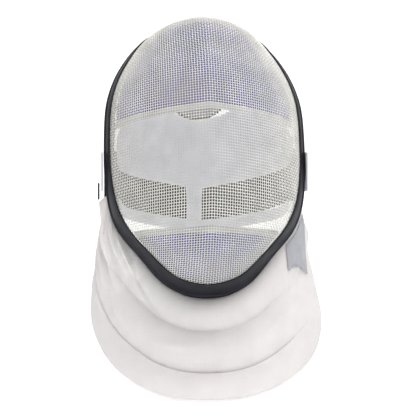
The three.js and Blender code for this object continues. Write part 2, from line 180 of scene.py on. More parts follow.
def unit(vectors):
    return vectors / np.maximum(np.linalg.norm(vectors, axis=-1, keepdims=True), 1e-12)


def bowl_point(across, along):
    """across is -1 to 1 over the crease at 0; along is 0 at the rear edge to 1 at the chin."""
    across, along = np.broadcast_arrays(np.asarray(across, float), np.asarray(along, float))
    row = bowl_row(along)
    start = np.radians(row[..., 5])
    angle = start + (EDGE_ANGLE - start) * np.abs(across)
    out = (np.sin(angle) - np.sin(start)) / (math.sin(EDGE_ANGLE) - np.sin(start))
    back = (np.cos(start) - np.cos(angle)) / (np.cos(start) - math.cos(EDGE_ANGLE))
    x = np.sign(across) * row[..., 2] * out
    y = row[..., 0] + (row[..., 3] - row[..., 0]) * back
    z = row[..., 1] + (row[..., 4] - row[..., 1]) * back
    return np.stack([x, y, z], -1)


def bowl_slopes(across, along):
    h = 1e-4
    per_across = (bowl_point(across + h, along) - bowl_point(across - h, along)) / (2 * h)
    per_along = (bowl_point(across, along + h) - bowl_point(across, along - h)) / (2 * h)
    return per_across, per_along


def bowl_normal(across, along):
    per_across, per_along = bowl_slopes(across, along)
    return unit(np.cross(per_along, per_across))


def along_at_height(z):
    """The share of the crease at which it stands at height z on the face."""
    shares = np.linspace(0.2, 1, 2000)
    heights = bowl_point(0, shares)[:, 2]
    return float(np.interp(-z, -heights, shares))


def step_inside(across, along, inward, distance):
    """Walks over the surface from the edge, in the direction inward."""
    steps = 30
    for _ in range(steps):
        per_across, per_along = bowl_slopes(across, along)
        a = (per_across**2).sum(-1)
        b = (per_across * per_along).sum(-1)
        c = (per_along**2).sum(-1)
        p = (per_across * inward).sum(-1) * distance / steps
        q = (per_along * inward).sum(-1) * distance / steps
        scale = 1 / (a * c - b * b)
        across, along = across + (c * p - b * q) * scale, along + (a * q - b * p) * scale
    return across, along


# ---------------------------------------------------------------- meshes


def make_object(name, points, faces):
    """A mesh piece from points in millimetres; it rides on the mask's only body."""
    mesh = bpy.data.meshes.new(name)
    mesh.from_pydata((np.asarray(points) * MM).tolist(), [], faces)
    mesh.validate()
    mesh.polygons.foreach_set("use_smooth", np.ones(len(mesh.polygons), bool))
    mesh.update()
    piece = bpy.data.objects.new(name, mesh)
    scene.collection.objects.link(piece)
    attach(piece, BODY)
    return piece


def wall(name, grid, front, back, keep=None):
    """A closed sheet: a grid of points moved out by front and in by back along its normals."""
    rows, columns = grid.shape[0] - 1, grid.shape[1] - 1
    normals = unit(np.cross(np.gradient(grid, axis=0), np.gradient(grid, axis=1)))
    outer = grid + normals * np.asarray(front)[..., None]
    inner = grid - normals * np.asarray(back)[..., None]
    points = np.concatenate([outer.reshape(-1, 3), inner.reshape(-1, 3)])
    offset = (rows + 1) * (columns + 1)
    kept = np.ones((rows, columns), bool) if keep is None else keep
    faces = []
    for j in range(rows):
        for i in range(columns):
            if not kept[j, i]:
                continue
            a = j * (columns + 1) + i
            b, c, d = a + columns + 1, a + columns + 2, a + 1
            faces.append((a, b, c, d))
            faces.append((offset + d, offset + c, offset + b, offset + a))
            borders = (
                (i == 0 or not kept[j, i - 1], b, a),
                (i == columns - 1 or not kept[j, i + 1], d, c),
                (j == 0 or not kept[j - 1, i], a, d),
                (j == rows - 1 or not kept[j + 1, i], c, b),
            )
            faces += [(p, q, offset + q, offset + p) for open_side, p, q in borders if open_side]
    used = sorted({corner for face in faces for corner in face})
    renumber = {corner: k for k, corner in enumerate(used)}
    faces = [tuple(renumber[corner] for corner in face) for face in faces]
    piece = make_object(name, points[used], faces)
    bevel = piece.modifiers.new("soft_edges", "BEVEL")
    bevel.width = 0.3 * MM * float(np.min(np.asarray(front) + np.asarray(back)))
    bevel.segments = 2
    bevel.limit_method = "ANGLE"
    bevel.angle_limit = math.radians(50)
    return piece


def tubes(name, paths, normals, radius, sides, slot):
    """Round tubes along many paths, joined in one mesh with closed ends."""
    angles = np.arange(sides) * 2 * math.pi / sides
    points, faces, base = [], [], 0
    for path, normal in zip(paths, normals):
        tangent = unit(np.gradient(path, axis=0))
        across = unit(np.cross(tangent, normal))
        up = np.cross(across, tangent)
        ring = np.cos(angles)[None, :, None] * up[:, None] + np.sin(angles)[None, :, None] * across[:, None]
        points.append((path[:, None] + radius * ring).reshape(-1, 3))
        for k in range(len(path) - 1):
            for m in range(sides):
                a = base + k * sides + m
                b = base + k * sides + (m + 1) % sides
                faces.append((a, b, b + sides, a + sides))
        faces.append(tuple(base + m for m in reversed(range(sides))))
        faces.append(tuple(base + (len(path) - 1) * sides + m for m in range(sides)))
        base += len(path) * sides
    return make_object(name, np.concatenate(points), faces)


# ---------------------------------------------------------------- the woven wire


def next_crossing(before_a, before_b, guess):
    """The points one pitch from both neighbours, on the bowl, by Newton's method."""
    here = guess.copy()
    for _ in range(NEWTON_STEPS):
        point = bowl_point(here[:, 0], here[:, 1])
        per_across, per_along = bowl_slopes(here[:, 0], here[:, 1])
        to_a, to_b = point - before_a, point - before_b
        miss = np.stack([(to_a**2).sum(1) - PITCH**2, (to_b**2).sum(1) - PITCH**2], 1)
        matrix = np.stack([
            np.stack([2 * (to_a * per_across).sum(1), 2 * (to_a * per_along).sum(1)], 1),
            np.stack([2 * (to_b * per_across).sum(1), 2 * (to_b * per_along).sum(1)], 1),
        ], 1)
        det = matrix[:, 0, 0] * matrix[:, 1, 1] - matrix[:, 0, 1] * matrix[:, 1, 0]
        det = np.where(np.abs(det) < 1e-9, np.nan, det)
        here[:, 0] -= (matrix[:, 1, 1] * miss[:, 0] - matrix[:, 0, 1] * miss[:, 1]) / det
        here[:, 1] -= (matrix[:, 0, 0] * miss[:, 1] - matrix[:, 1, 0] * miss[:, 0]) / det
    return here


def march(start, direction, inside):
    """Places one pitch apart along a line of the surface, in (across, along)."""
    places = [np.array(start, float)]
    while inside(places[-1]) and len(places) < LONGEST_WIRE:
        here = places[-1]
        step = 1e-3
        for _ in range(8):
            there = here + direction * step
            gap = np.linalg.norm(bowl_point(*there) - bowl_point(*here))
            step *= PITCH / gap
        places.append(here + direction * step)
    return np.array(places)


def quadrant(crease, weft):
    """Crossings on one side of the crease, from its own line and the first weft wire."""
    net = np.full((len(crease), len(weft), 2), np.nan)
    net[:, 0] = crease
    net[0] = weft
    for diagonal in range(2, len(crease) + len(weft) - 1):
        j = np.arange(max(1, diagonal - len(weft) + 1), min(diagonal - 1, len(crease) - 1) + 1)
        i = diagonal - j
        guess = net[j - 1, i] + net[j, i - 1] - net[j - 1, i - 1]
        known = np.isfinite(guess).all(1)
        j, i, guess = j[known], i[known], guess[known]
        if not len(j):
            continue
        found = next_crossing(bowl_point(*net[j - 1, i].T), bowl_point(*net[j, i - 1].T), guess)
        good = np.isfinite(found).all(1) & (np.abs(found - guess).max(1) < 0.15)
        good &= (found[:, 0] < 1.12) & (found[:, 0] > 0)
        good &= (found[:, 1] > -0.04) & (found[:, 1] < 1.04)
        net[j[good], i[good]] = found[good]
    return net


def woven_net():
    """All crossings with across >= 0: rows are weft wires from rear to chin, columns warp wires."""
    middle = along_at_height(NET_START_Z)
    up = march((0, middle), np.array([0, -1.0]), lambda p: p[1] > 0)
    down = march((0, middle), np.array([0, 1.0]), lambda p: p[1] < 1)
    weft = march((0, middle), np.array([1.0, 0]), lambda p: p[0] < 1.1)
    weft[0, 0] = 0
    above = quadrant(up, weft)
    below = quadrant(down, weft)
    return np.concatenate([above[::-1], below[1:]])


def runs(flags):
    """Start and end of each run of at least four True values."""
    edges = np.flatnonzero(np.diff(np.concatenate([[0], flags.astype(int), [0]])))
    return [(a, b) for a, b in zip(edges[::2], edges[1::2]) if b - a >= 4]


def with_midpoints(values):
    middle = (values[1:] + values[:-1]) / 2
    result = np.empty((len(values) * 2 - 1,) + values.shape[1:])
    result[::2] = values
    result[1::2] = middle
    return result


def wire_path(places, parity, side, lift):
    """A wire over and under its crossings, with a smooth half-way point between each two."""
    doubled = with_midpoints(places)
    signed = doubled[:, 0] * side
    base = bowl_point(signed, doubled[:, 1])
    normal = bowl_normal(signed, doubled[:, 1])
    height = with_midpoints(np.where(parity % 2 == 0, lift, -lift))
    return base + normal * height[:, None], normal


def woven_wire():
    net = woven_net()
    rows, columns = net.shape[:2]
    inside = np.isfinite(net).all(2)
    inside &= (net[..., 0] <= 0.99) & (net[..., 1] >= 0.004) & (net[..., 1] <= 0.996)
    lift = WIRE_RADIUS * CRIMP
    warp, weft = ([], []), ([], [])
    for i in range(columns):
        for a, b in runs(inside[:, i]):
            for side in ((1,) if i == 0 else (1, -1)):
                path, normal = wire_path(net[a:b, i], np.arange(a, b) + i, side, lift)
                warp[0].append(path)
                warp[1].append(normal)
    for j in range(rows):
        for a, b in runs(inside[j]):
            parity = np.arange(a, b) + j + 1
            if a > 0:
                for side in (1, -1):
                    path, normal = wire_path(net[j, a:b], parity, side, lift)
                    weft[0].append(path)
                    weft[1].append(normal)
                continue
            right, right_normal = wire_path(net[j, :b], parity, 1, lift)
            left, left_normal = wire_path(net[j, :b], parity, -1, lift)
            weft[0].append(np.concatenate([left[:0:-1], right]))
            weft[1].append(np.concatenate([left_normal[:0:-1], right_normal]))
    warp_piece = tubes("warp_wires", *warp, WIRE_RADIUS, WIRE_SIDES, "wire")
    weft_piece = tubes("weft_wires", *weft, WIRE_RADIUS, WIRE_SIDES, "wire")
    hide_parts("wire_mesh")
    return [warp_piece, weft_piece]


# ---------------------------------------------------------------- the bound edge


def edge_outline(stations):
    """Places evenly spaced round the edge of the bowl: down the +X side, through the chin, round."""
    side = np.linspace(0, 1, 400)
    half = np.linspace(1, -1, 81)[1:-1]
    places = np.concatenate([
        np.stack([np.ones_like(side), side], 1),
        np.stack([half, np.ones_like(half)], 1),
        np.stack([-np.ones_like(side), side[::-1]], 1),
        np.stack([-half, np.zeros_like(half)], 1),
    ])
    closed = np.concatenate([places, places[:1]])
    lengths = np.linalg.norm(np.diff(bowl_point(closed[:, 0], closed[:, 1]), axis=0), axis=1)
    total = np.concatenate([[0], np.cumsum(lengths)])
    wanted = np.linspace(0, total[-1], stations, endpoint=False)
    return np.stack([np.interp(wanted, total, closed[:, k]) for k in range(2)], 1)


def smooth_loop(values, reach):
    weights = np.hanning(2 * reach + 3)[1:-1]
    weights /= weights.sum()
    return sum(w * np.roll(values, k - reach, axis=0) for k, w in enumerate(weights))


EDGE_STATIONS = 360
edge_places = edge_outline(EDGE_STATIONS)
edge_points = smooth_loop(bowl_point(edge_places[:, 0], edge_places[:, 1]), 5)
edge_normals = unit(smooth_loop(bowl_normal(edge_places[:, 0], edge_places[:, 1]), 8))
edge_tangents = unit(smooth_loop(np.roll(edge_points, -1, 0) - np.roll(edge_points, 1, 0), 8))
edge_outward = unit(np.cross(edge_normals, edge_tangents))


def edge_section(out, off):
    """The loop of points at a distance outside the edge (out) and off the wire (off)."""
    if np.min(out) >= 0:
        return edge_points + out * edge_outward + off * edge_normals
    distance = np.broadcast_to(-np.asarray(out, float), len(edge_places))
    across, along = step_inside(edge_places[:, 0], edge_places[:, 1], -edge_outward, distance)
    across = np.where(np.abs(across) < 1e-3, 0, across)
    normal = unit(smooth_loop(bowl_normal(across, along), 4))
    return smooth_loop(bowl_point(across, along), 3) + off * normal


def bound_edge():
    inner, outer = TRIM_GAP, TRIM_GAP + TRIM_LEATHER
    heights, reaches = zip(*TRIM_REACH)
    front = smooth_loop(np.interp(edge_points[:, 2], heights, reaches), 10)
    bead = [
        (-1 + 1.9 * math.cos(a), outer - 0.1 + (TRIM_BEAD + 0.1) * math.sin(a))
        for a in np.linspace(math.pi, 0, 7)
    ]
    profile = [
        (-front + 0.2, inner - 0.4), (-front - 0.2, outer - 0.9),
        (-front + 0.1, outer - 0.3), (-front + 0.8, outer), (-0.7 * front, outer + 0.15),
        (-4.6, outer + 0.1), (-3.2, outer - 0.25), *bead,
        (TRIM_LIP - 0.5, outer - 0.4), (TRIM_LIP, outer - 1.2), (TRIM_LIP, -outer + 0.8),
        (TRIM_LIP - 0.8, -outer), (-5, -outer), (-TRIM_BACK, -outer), (-TRIM_BACK, -inner),
        (-5, -inner), (TRIM_LIP - TRIM_LEATHER, -inner), (TRIM_LIP - TRIM_LEATHER, inner),
        (-5, inner), (-0.7 * front, inner - 0.1),
    ]
    loops = np.stack([edge_section(*place) for place in profile], 1)
    size = len(profile)
    faces = []
    for k in range(EDGE_STATIONS):
        following = (k + 1) % EDGE_STATIONS
        for m in range(size):
            n = (m + 1) % size
            faces.append((k * size + m, following * size + m, following * size + n, k * size + n))
    piece = make_object("edge_binding", loops.reshape(-1, 3), faces)
    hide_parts("rim_trim")
    return piece


# ---------------------------------------------------------------- the bib


def lower_edge_points(gap):
    """The edge from the chin to the ear on the +X side, a gap outside the trim.

    The points are put in order by a mix of X and Z that grows all the way from chin to ear.
    """
    outside = edge_points + edge_outward * (TRIM_LIP + gap)
    right = outside[outside[:, 0] > -0.5]
    right = right[(right[:, 2] < BIB_TOP + 6) & (right[:, 1] < 20)]
    return right[np.argsort(right[:, 0] + 0.4 * right[:, 2])]


lower_edge_loop = lower_edge_points(BIB_GAP)
lower_edge_lengths = np.concatenate([
    [0], np.cumsum(np.linalg.norm(np.diff(lower_edge_loop, axis=0), axis=1))])
at_top = float(np.interp(BIB_TOP, lower_edge_loop[:, 2], lower_edge_lengths))


def lower_edge(share):
    wanted = np.asarray(share) * at_top
    return np.stack([np.interp(wanted, lower_edge_lengths, lower_edge_loop[:, k]) for k in range(3)], -1)


hem_curve = spline(BIB_HEM[:, 1:], [1, 2, 3])
hem_steps = np.linalg.norm(np.diff(BIB_HEM[:, 2:], axis=0), axis=1)
hem_lengths = np.concatenate([[0], np.cumsum(hem_steps)]) / hem_steps.sum()


def bib_base(side, down):
    share = np.abs(side)
    top = lower_edge(share)
    top[..., 0] = np.where(side < 0, -top[..., 0], top[..., 0])
    hem = hem_curve(np.interp(share, BIB_HEM[:, 0], hem_lengths))
    bottom = np.stack([np.where(side < 0, hem[..., 0], hem[..., 1]), hem[..., 2], hem[..., 3]], -1)
    return top + (bottom - top) * down[..., None]


def roll_height(side, down):
    height = np.zeros_like(down)
    for top, bottom in zip(BIB_SEAMS, BIB_SEAMS[1:]):
        within = (down - top) / (bottom - top)
        inside = (within >= 0) & (within <= 1)
        puff = np.sin(math.pi * np.clip(within, 0, 1) ** ROLL_HANG) ** ROLL_FULLNESS
        height = np.where(inside, puff, height)
    broad = BROAD_ROLL * np.sin(math.pi * np.clip(down, 0, 1) ** ROLL_HANG) ** ROLL_FULLNESS
    seam_end = np.where(side < 0, SEAM_END_LEFT, SEAM_END_RIGHT)
    plain = np.clip((np.abs(side) - seam_end) / SEAM_FADE, 0, 1)
    plain = plain * plain * (3 - 2 * plain)
    height = height + (broad - height) * plain
    fade = np.abs(side) ** ROLL_FADE
    return height * (BIB_ROLL + (BIB_ROLL_AT_EAR - BIB_ROLL) * fade)


def fold_height(side, down):
    total = np.zeros_like(down)
    place = np.stack([side * BIB_REACH, down * BIB_DROP], -1)
    for side0, down0, side1, down1, width, height in BIB_FOLDS:
        start = np.array([side0 * BIB_REACH, down0 * BIB_DROP])
        line = np.array([side1 * BIB_REACH, down1 * BIB_DROP]) - start
        share = np.clip(((place - start) @ line) / (line @ line), 0, 1)
        offset = place - start - share[..., None] * line
        below = line[0] * offset[..., 1] - line[1] * offset[..., 0] > 0
        away = np.linalg.norm(offset, axis=-1) * np.where(below, FOLD_STEEPNESS, 1)
        swell = np.sin(math.pi * np.clip(share, FOLD_END, 1 - FOLD_END))
        total += FOLD_DEPTH * height * np.exp(-((away / width) ** 2)) * swell
    ripple = 0.35 * np.sin(side * 61 + 5 * down) * np.sin(side * 23 + 9 * down)
    return total + ripple


def bib_point(side, down):
    side, down = np.broadcast_arrays(np.asarray(side, float), np.asarray(down, float))
    h = 0.01
    across = bib_base(side + h, down) - bib_base(side - h, down)
    fall = bib_base(side, down + h) - bib_base(side, down - h)
    normal = unit(np.cross(fall, across))
    ends = np.clip(down / 0.06, 0, 1) * np.clip((1 - down) / 0.05, 0, 1)
    height = roll_height(side, down) + fold_height(side, down) * ends
    return bib_base(side, down) + normal * height[..., None], normal


def grid_of(columns, rows):
    a, b = np.meshgrid(np.linspace(0, 1, columns + 1), np.linspace(0, 1, rows + 1))
    return a, b


def stitches(name, path, normal, slot, length=2.6, pitch=3.6, radius=0.28):
    """A row of short threads along a path."""
    lengths = np.concatenate([[0], np.cumsum(np.linalg.norm(np.diff(path, axis=0), axis=1))])
    paths, normals = [], []
    for start in np.arange(0, lengths[-1] - length, pitch):
        wanted = np.linspace(start, start + length, 4)
        line = np.stack([np.interp(wanted, lengths, path[:, k]) for k in range(3)], 1)
        up = unit(np.stack([np.interp(wanted, lengths, normal[:, k]) for k in range(3)], 1))
        sink = np.array([-0.25, 0.12, 0.12, -0.25])[:, None]
        paths.append(line + up * sink)
        normals.append(up)
    return tubes(name, paths, normals, radius, 6, slot)


def bib_piece():
    a, b = grid_of(240, 96)
    points, _ = bib_point(2 * a - 1, b)
    thin = 1 - 0.55 * np.clip(1 - np.minimum(b, 1 - b) / 0.02, 0, 1)
    piece = wall("padded_bib", points, np.zeros_like(a), BIB_PADDING * thin)
    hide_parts("bib")
    pieces = [piece]
    seams = ((0.33, SEAM_END_RIGHT + 0.12), (0.72, SEAM_END_RIGHT + 0.2), (0.975, 0.9))
    for k, (down, right_end) in enumerate(seams, 1):
        path, normal = bib_point(np.linspace(-0.9, right_end, 500), down)
        pieces.append(stitches(f"bib_stitches_{k}", path + normal * 0.25, normal, "bib_cloth"))
    return pieces


def bib_piping():
    """A thin white cord between the bound edge and the bib."""
    side = np.linspace(-1, 1, 260)
    top = lower_edge(np.abs(side))
    top[:, 0] *= np.where(side < 0, -1, 1)
    inward = unit(bib_base(side, np.full_like(side, 0.1)) - top)
    path = top + inward * -0.1 + np.array([0, -1.6, 0])
    normal = np.tile([0, -1.0, 0], (len(side), 1))
    return tubes("bib_piping", [path], [normal], 0.95, 8, "bib_cloth")


RIBBON_CORNERS = {       # places on the bib, as side and down
    "top_inner": (0.66, 0.05),
    "top_outer": (0.9, 0.06),
    "end_inner": (0.6, 0.22),
    "end_outer": (0.73, 0.44),
}
RIBBON_NOTCH = 0.09


def ribbon_place(a, b):
    corners = {name: np.array(place) for name, place in RIBBON_CORNERS.items()}
    a3, b3 = a[..., None], b[..., None]
    top = corners["top_inner"] + (corners["top_outer"] - corners["top_inner"]) * a3
    end = corners["end_inner"] + (corners["end_outer"] - corners["end_inner"]) * a3
    end[..., 1] -= RIBBON_NOTCH * (1 - np.abs(2 * a - 1))
    place = top + (end - top) * b3
    return place[..., 0], place[..., 1]


def ribbon_piece():
    a, b = grid_of(24, 36)
    points, _ = bib_point(*ribbon_place(a, b))
    piece = wall("plain_ribbon", points, np.full_like(a, 1.9), np.full_like(a, -1.2))
    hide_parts("label")
    return piece


# ---------------------------------------------------------------- linings


def lining(name, node, low, high, reach, slot, thickness, quilt):
    a, b = grid_of(90, 60 if quilt else 8)
    across = (2 * a - 1) * reach
    along = low + (high - low) * b
    points = bowl_point(across, along) - bowl_normal(across, along) * LINING_STANDOFF
    puff = 0.8 * np.abs(np.sin(a * math.pi * quilt)) ** 0.5 if quilt else 0.3 * np.sin(math.pi * b)
    rim = np.minimum(np.minimum(a, 1 - a) * 20, np.minimum(b, 1 - b) * 12)
    thick = thickness / 2 * (0.45 + 0.55 * np.sqrt(np.clip(rim, 0, 1)))
    piece = wall(name, points, thick - 0.8 + puff, thick - 0.8 + puff)
    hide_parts(node)
    return piece


def linings():
    crease = np.linalg.norm(np.diff(bowl_point(0, np.linspace(0, 1, 400)), axis=0), axis=1).sum()
    forehead = along_at_height(FOREHEAD_EDGE_Z)
    chin = along_at_height(CHIN_EDGE_Z)
    strip = WEBBING_HEIGHT / crease
    gap = WEBBING_GAP / crease
    pad, edge = LINING_PADDING, WEBBING_THICKNESS
    rows = (
        # name, the node it replaces, from, to, reach, slot, thickness, quilted rolls
        ("forehead_pad", "forehead_lining", 0.15, forehead, 0.93, "lining", pad, 6),
        ("forehead_edge", "forehead_binding", forehead + gap, forehead + strip, 0.93, "binding", edge, 0),
        ("chin_pad", "chin_lining", chin, 0.975, 0.9, "lining", pad, 4),
        ("chin_edge", "chin_binding", chin - strip, chin - gap, 0.9, "binding", edge, 0),
    )
    return [lining(*row) for row in rows]


# ---------------------------------------------------------------- tongue, harness and straps


TONGUE = {"width": 74, "top_y": 77, "top_z": -5, "end_y": 62, "end_z": -92, "centre": -5, "bow": 7}


def tongue_piece():
    """A cloth-covered spring leaf with a rounded end, and a black tube along its edge."""
    width, top_y, top_z, end_y, end_z, centre = (
        TONGUE[key] for key in ("width", "top_y", "top_z", "end_y", "end_z", "centre"))
    round_from = 1 - width / 2 / (top_z - end_z)

    def place(a, b, inset=0):
        into = np.clip((b - round_from) / (1 - round_from), 0, 0.985)
        half = (width / 2 - inset) * np.sqrt(1 - into * into)
        x = centre * b + (2 * a - 1) * half
        y = top_y + (end_y - top_y) * b + TONGUE["bow"] * np.sin(math.pi * b)
        z = top_z + (end_z - top_z) * b
        return np.stack([x, y, z], -1)

    a, b = grid_of(30, 60)
    piece = wall("tongue_cover", place(a, b, 1.5), 1.4 + 0 * a, 1.4 + 0 * a)
    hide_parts("tongue")
    down = np.linspace(0, 0.992, 60)
    sides = [place(np.full_like(down, side), down, 1.2) for side in (0, 1)]
    loop = np.concatenate([sides[0], sides[1][::-1]])
    normal = np.tile([0, -1.0, 0], (len(loop), 1))
    edge = tubes("tongue_edge", [loop], [normal], 1.6, 10, "black_elastic")
    return [piece, edge]


HARNESS_TOP = [(0, -114), (0.1, -109), (0.16, -95), (0.26, -84), (0.38, -80), (0.43, -87), (0.5, -93),
               (0.57, -87), (0.63, -77), (0.75, -81), (0.84, -93), (0.9, -107), (1, -114)]
HARNESS_BAND = [(0, -137), (0.08, -148), (0.16, -151), (0.5, -170), (0.84, -147), (0.92, -144), (1, -137)]
HARNESS_LOW_TOP = [(0, -172), (0.2, -190), (0.5, -206), (0.8, -190), (1, -172)]
HARNESS_LOW = [(0, -184), (0.2, -203), (0.5, -220), (0.8, -203), (1, -184)]
HARNESS = {"half_width": 91, "front_y": 12, "rear_y": 80, "stem_x": -7, "stem_half": 8.5}
HARNESS_END = {"half_width": 94, "y": 1}
HARNESS_END_SHARE = 1 / 11      # the straight stretch at each end, as a share of the way across


def level(table, share):
    return np.interp(share, [row[0] for row in table], [row[1] for row in table])


def harness_plan(share):
    """Where the harness stands in plan at a share of the way across."""
    end = HARNESS_END_SHARE
    turn = np.clip((share - end) / (1 - 2 * end), 0, 1) * math.pi - math.pi / 2
    x = HARNESS["half_width"] * np.sin(turn)
    y = HARNESS["front_y"] + (HARNESS["rear_y"] - HARNESS["front_y"]) * np.cos(turn)
    out = np.clip(1 - np.minimum(share, 1 - share) / end, 0, 1)
    x = x + np.sign(x) * out * (HARNESS_END["half_width"] - HARNESS["half_width"])
    y = y + out * (HARNESS_END["y"] - HARNESS["front_y"])
    return x, y


def harness_grid(low_share, high_share, upper, lower, columns, rows):
    a, b = grid_of(columns, rows)
    share = low_share + (high_share - low_share) * a
    x, y = harness_plan(share)
    z = level(upper, share) * (1 - b) + level(lower, share) * b
    return np.stack([x, y, z], -1)


def harness_pieces():
    thick = 1.1
    band_grid = harness_grid(0, 1, HARNESS_TOP, HARNESS_BAND, 120, 24)
    low_grid = harness_grid(0.1, 0.9, HARNESS_LOW_TOP, HARNESS_LOW, 100, 6)
    ones = np.ones(band_grid.shape[:2]) * thick
    ripple = 0.5 * np.sin(np.linspace(0, 9, 25))[:, None] * np.ones((1, 121))
    band = wall("harness_band", band_grid, ones + ripple * 0.5, ones - ripple * 0.5)
    low = wall("harness_lower_band", low_grid, np.full(low_grid.shape[:2], thick),
               np.full(low_grid.shape[:2], thick))
    a, b = grid_of(8, 24)
    x = HARNESS["stem_x"] + (2 * a - 1) * HARNESS["stem_half"] * (1 + 0.25 * (1 - b) ** 4)
    y = HARNESS["rear_y"] - 0.6 * (x / HARNESS["half_width"]) ** 2 + 0 * b
    z = -160 + (-212 + 160) * b
    stem_grid = np.stack([x, y, z], -1)
    stem = wall("harness_stem", stem_grid, thick + 0 * a, thick + 0 * a)
    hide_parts("head_harness")
    return [band, low, stem]


# The back strap is real, but it is made 57 mm tall and sagging so that this near-black sheet fills the face
# windows: partly painted shade of the mask's dark inside.
STRAP = {"half_width": 107, "front_y": 20, "rear_y": 104, "height": 57, "end_z": -151, "sag": 27}


def strap_pieces():
    a, b = grid_of(120, 14)
    turn = (a - 0.5) * math.pi
    x = STRAP["half_width"] * np.sin(turn)
    y = STRAP["front_y"] + (STRAP["rear_y"] - STRAP["front_y"]) * np.cos(turn)
    z = STRAP["end_z"] - STRAP["sag"] * np.cos(turn) ** 2 + (0.5 - b) * STRAP["height"]
    ribs = 0.12 * np.sin(b * 14 * math.pi)
    grid = np.stack([x, y, z], -1)
    strap = wall("back_elastic_and_painted_shade", grid, 1 + ribs, 1 + ribs)
    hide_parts("back_strap")
    return [strap]


def rounded_plate(name, node, shift_x, corner=2.5, segments=5):
    """A thin plate in the plane of Y and Z with rounded corners: the node's box, moved by shift_x."""
    low, high = (np.array(corner_point) / MM + (shift_x, 0, 0) for corner_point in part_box(node))
    outline = []
    for centre_y, centre_z, start in (
        (high[1] - corner, high[2] - corner, 0), (low[1] + corner, high[2] - corner, 90),
        (low[1] + corner, low[2] + corner, 180), (high[1] - corner, low[2] + corner, 270),
    ):
        for k in range(segments + 1):
            turn = math.radians(start + 90 * k / segments)
            outline.append((centre_y + corner * math.cos(turn), centre_z + corner * math.sin(turn)))
    count = len(outline)
    points = [(x, y, z) for x in (low[0], high[0]) for y, z in outline]
    faces = [tuple(range(count))[::-1], tuple(range(count, 2 * count))]
    faces += [(k, (k + 1) % count, count + (k + 1) % count, count + k) for k in range(count)]
    piece = make_object(name, points, faces)
    bevel = piece.modifiers.new("soft_edges", "BEVEL")
    bevel.width = 0.4 * MM
    bevel.segments = 2
    bevel.limit_method = "ANGLE"
    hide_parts(node)
    return piece


# ---------------------------------------------------------------- materials


def new_material(name, colour, roughness, specular=0.4, metallic=0.0, sheen=0.0):
    material = bpy.data.materials.new(name)
    material.use_nodes = True
    shader = material.node_tree.nodes["Principled BSDF"]
    shader.inputs["Base Color"].default_value = (*colour, 1)
    shader.inputs["Roughness"].default_value = roughness
    shader.inputs["Specular IOR Level"].default_value = specular
    shader.inputs["Metallic"].default_value = metallic
    shader.inputs["Sheen Weight"].default_value = sheen
    return material, material.node_tree, shader


def add_mottle(tree, shader, dark, light, scale, detail=4):
    """Two tones of the base colour, in soft patches."""
    noise = tree.nodes.new("ShaderNodeTexNoise")
    noise.inputs["Scale"].default_value = scale
    noise.inputs["Detail"].default_value = detail
    ramp = tree.nodes.new("ShaderNodeValToRGB")
    ramp.color_ramp.elements[0].position = 0.35
    ramp.color_ramp.elements[1].position = 0.65
    ramp.color_ramp.elements[0].color = (*dark, 1)
    ramp.color_ramp.elements[1].color = (*light, 1)
    coordinate = tree.nodes.new("ShaderNodeTexCoord")
    tree.links.new(coordinate.outputs["Object"], noise.inputs["Vector"])
    tree.links.new(noise.outputs["Fac"], ramp.inputs["Fac"])
    tree.links.new(ramp.outputs["Color"], shader.inputs["Base Color"])


def add_weave(tree, shader, threads_per_metre, strength, grain):
    """A woven surface: two sets of threads and a fine grain, as bump."""
    coordinate = tree.nodes.new("ShaderNodeTexCoord")
    waves = []
    for direction in ("X", "Z"):
        wave = tree.nodes.new("ShaderNodeTexWave")
        wave.bands_direction = direction
        wave.inputs["Scale"].default_value = threads_per_metre / 20
        wave.inputs["Distortion"].default_value = 0.6
        wave.inputs["Detail"].default_value = 1
        tree.links.new(coordinate.outputs["Object"], wave.inputs["Vector"])
        waves.append(wave)
    noise = tree.nodes.new("ShaderNodeTexNoise")
    noise.inputs["Scale"].default_value = grain
    noise.inputs["Detail"].default_value = 3
    tree.links.new(coordinate.outputs["Object"], noise.inputs["Vector"])
    total = tree.nodes.new("ShaderNodeMath")
    total.operation = "ADD"
    tree.links.new(waves[0].outputs["Fac"], total.inputs[0])
    tree.links.new(waves[1].outputs["Fac"], total.inputs[1])
    with_grain = tree.nodes.new("ShaderNodeMath")
    with_grain.operation = "ADD"
    tree.links.new(total.outputs["Value"], with_grain.inputs[0])
    tree.links.new(noise.outputs["Fac"], with_grain.inputs[1])
    bump = tree.nodes.new("ShaderNodeBump")
    bump.inputs["Strength"].default_value = strength
    bump.inputs["Distance"].default_value = 0.0004
    tree.links.new(with_grain.outputs["Value"], bump.inputs["Height"])
    tree.links.new(bump.outputs["Normal"], shader.inputs["Normal"])


def cloth(name, dark, light, threads, strength=0.35, sheen=0.15, roughness=0.88):
    material, tree, shader = new_material(name, light, roughness, specular=0.25, sheen=sheen)
    add_mottle(tree, shader, dark, light, 38)
    add_weave(tree, shader, threads, strength, 900)
    return material


def enamelled_wire():
    material, tree, shader = new_material("enamelled_wire", (0.82, 0.82, 0.79), 0.42, specular=0.5)
    add_mottle(tree, shader, (0.79, 0.79, 0.745), (0.91, 0.90, 0.86), 55)
    return material


def black_vinyl():
    material, tree, shader = new_material("black_vinyl", (0.015, 0.016, 0.02), 0.5, specular=0.35)
    add_mottle(tree, shader, (0.007, 0.0075, 0.012), (0.014, 0.015, 0.023), 60)
    noise = tree.nodes.new("ShaderNodeTexVoronoi")
    noise.inputs["Scale"].default_value = 900
    coordinate = tree.nodes.new("ShaderNodeTexCoord")
    tree.links.new(coordinate.outputs["Object"], noise.inputs["Vector"])
    bump = tree.nodes.new("ShaderNodeBump")
    bump.inputs["Strength"].default_value = 0.25
    bump.inputs["Distance"].default_value = 0.0002
    tree.links.new(noise.outputs["Distance"], bump.inputs["Height"])
    tree.links.new(bump.outputs["Normal"], shader.inputs["Normal"])
    return material


def dress(pieces, material):
    for piece in pieces:
        piece.data.materials.clear()
        piece.data.materials.append(material)


